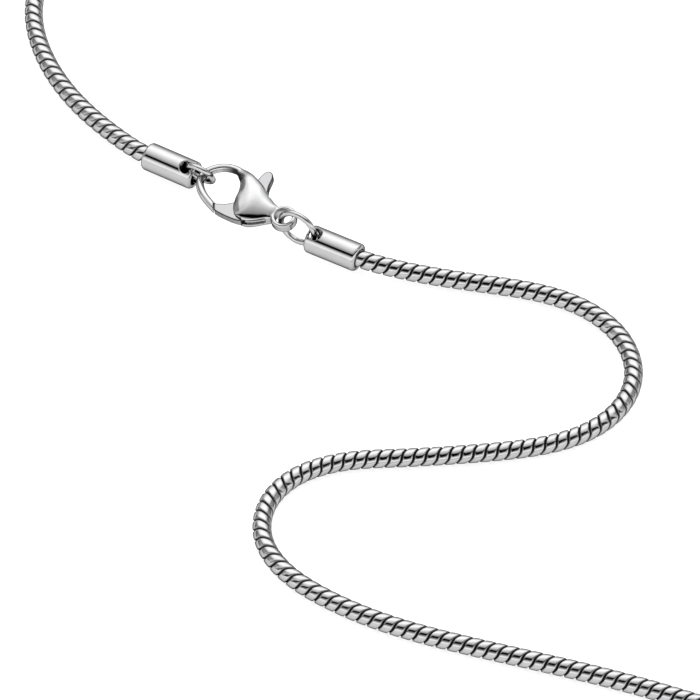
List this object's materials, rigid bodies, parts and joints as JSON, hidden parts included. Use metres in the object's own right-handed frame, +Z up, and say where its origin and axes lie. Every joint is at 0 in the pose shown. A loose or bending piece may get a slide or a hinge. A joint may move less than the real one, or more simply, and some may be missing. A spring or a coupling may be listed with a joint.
{
  "type": "snake chain necklace",
  "caption": "Round polished steel snake chain necklace lying flat in a closed loop, with tubular end caps, jump rings and a sprung lobster clasp.",
  "frame": {"origin": "centre of the bounding box on the surface that the necklace lies on", "axes": "+Z up from the surface; +Y away from the viewer, along the long side of the loop; +X to the right; the clasp is at the left of the middle"},
  "size_m": [0.0991, 0.1371, 0.005],
  "materials": {
    "chain_steel": "polished stainless steel snake chain",
    "fitting_steel": "polished stainless steel"
  },
  "bodies": {
    "necklace": {"chain_front": "chain_steel", "chain_back": "chain_steel", "cap_left": "fitting_steel", "cap_right": "fitting_steel", "ring_left": "fitting_steel", "ring_right": "fitting_steel", "clasp_body": "fitting_steel", "lever_pin": "fitting_steel"},
    "lever": {"clasp_lever": "fitting_steel"}
  },
  "joints": [
    {"name": "lever_hinge", "type": "hinge", "parent": "necklace", "child": "lever", "pos_m": [-0.02398, 0.00693, 0.00268], "axis": [0.1192, 0.1703, -0.9781], "range_deg": [0, 25], "stiffness_Nm_per_rad": 0.0002, "springref_deg": -20.05}
  ]
}
